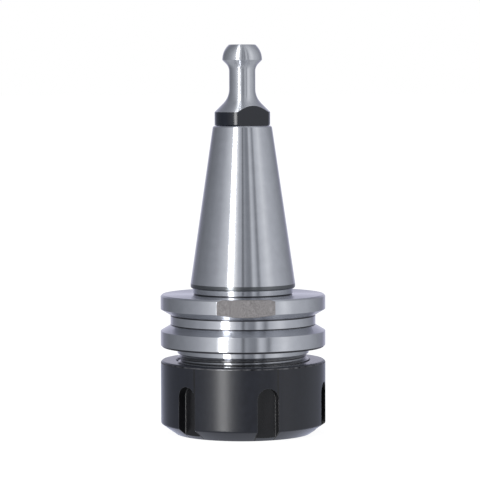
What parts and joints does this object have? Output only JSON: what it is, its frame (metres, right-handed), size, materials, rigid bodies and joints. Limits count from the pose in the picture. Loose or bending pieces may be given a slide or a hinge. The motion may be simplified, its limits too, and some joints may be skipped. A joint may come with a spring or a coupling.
{
  "type": "collet chuck holder",
  "caption": "Steep-taper tool holder with a gripper flange, a pull stud, a slit spring collet and a slotted clamping nut that turns on its nose to draw and release the collet.",
  "frame": {"origin": "centre of the clamping nut's front face, which is the plane that the part stands on", "axes": "+Z along the spindle axis, from the nut towards the pull stud; -Y towards the flange's marking flat"},
  "size_m": [0.05, 0.05, 0.1177],
  "materials": {
    "ground_steel": "ground and fine-turned hardened steel",
    "stud_steel": "turned bright steel, with a black oxide collar and wrench flats",
    "black_oxide_steel": "black oxide, satin",
    "collet_steel": "ground hardened spring steel"
  },
  "bodies": {
    "holder": {"holder_body": "ground_steel", "pull_stud": "stud_steel"},
    "collet": {"collet": "collet_steel"},
    "nut": {"clamping_nut": "black_oxide_steel"}
  },
  "joints": [
    {"name": "collet_draw", "type": "slide", "parent": "holder", "child": "collet", "axis": [0, 0, -1], "range_m": [0, 0.00825]},
    {"name": "nut_turn", "type": "hinge", "parent": "collet", "child": "nut", "pos_m": [0, 0, 0], "axis": [0, 0, -1], "range_deg": [0, 1980]}
  ],
  "couplings": [
    {"joint": "collet_draw", "follows": "nut_turn", "m_per_rad": 0.00023873}
  ]
}
